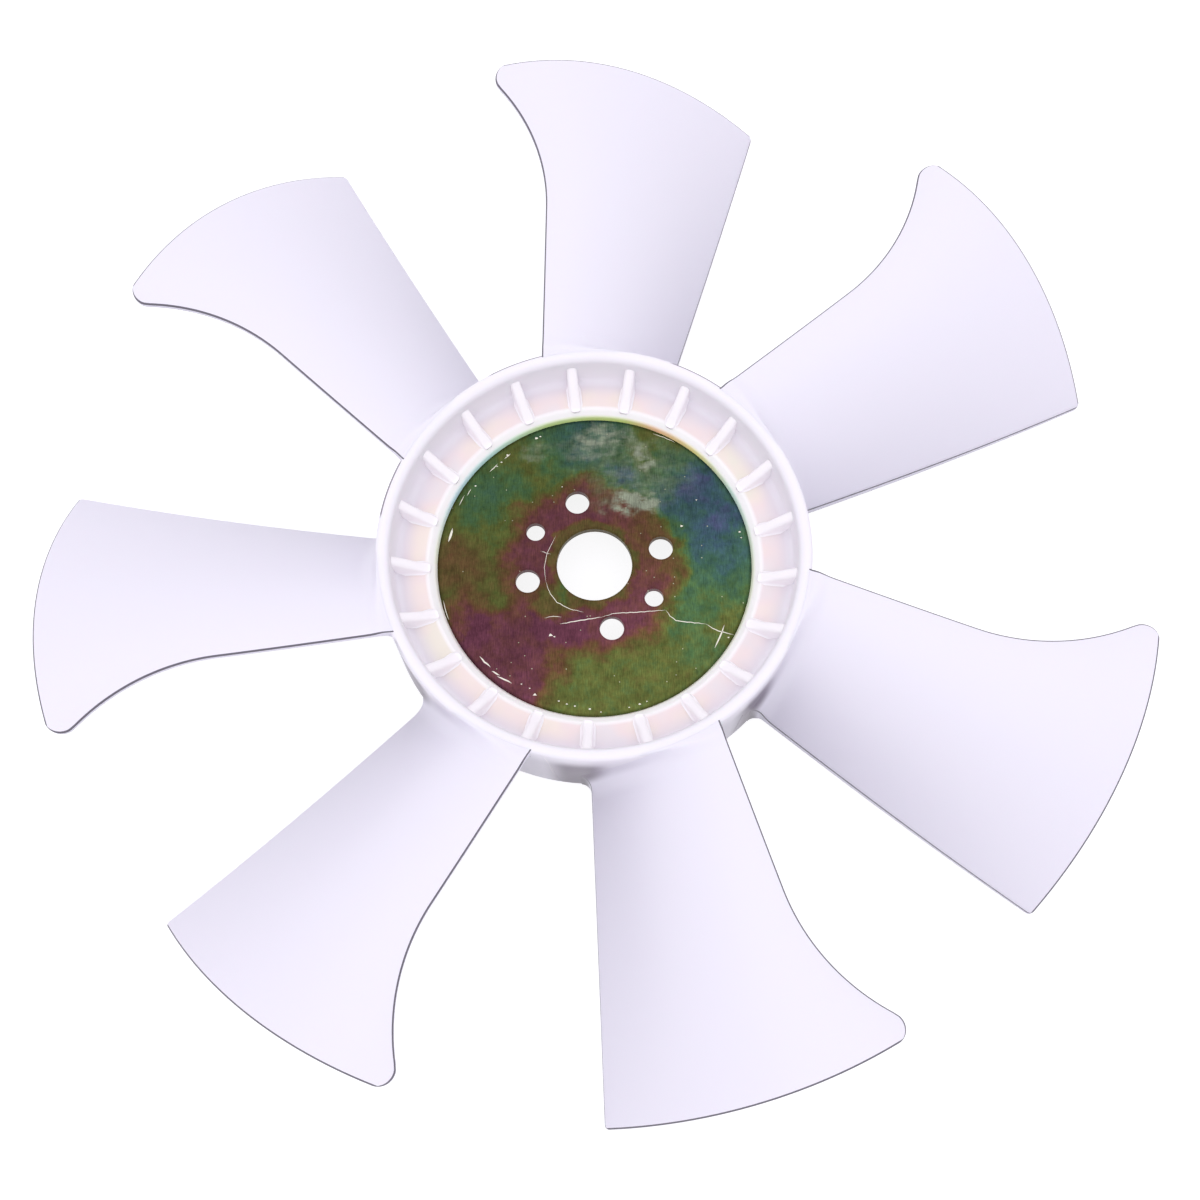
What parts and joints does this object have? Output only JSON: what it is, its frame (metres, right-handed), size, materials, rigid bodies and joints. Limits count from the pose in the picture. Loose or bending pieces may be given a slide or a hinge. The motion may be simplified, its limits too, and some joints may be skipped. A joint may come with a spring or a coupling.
{
  "type": "axial fan impeller",
  "caption": "One-piece moulded axial fan impeller with hooked blades and a ribbed hub ring around a flat steel mounting disc with a pilot bore and bolt holes.",
  "frame": {"origin": "centre of the pilot bore, on the back face of the mounting disc", "axes": "+Z along the shaft towards the front of the fan, which faces the viewer in the picture; +X to the right of the picture"},
  "size_m": [0.3964, 0.4, 0.05],
  "materials": {
    "nylon": "natural white moulded nylon, smooth satin gloss",
    "passivated_steel": "rolled steel sheet, zinc plated and yellow passivated, olive with green, blue and red bronze tints"
  },
  "bodies": {
    "root": {"impeller": "nylon", "mounting_disc": "passivated_steel"}
  },
  "joints": []
}
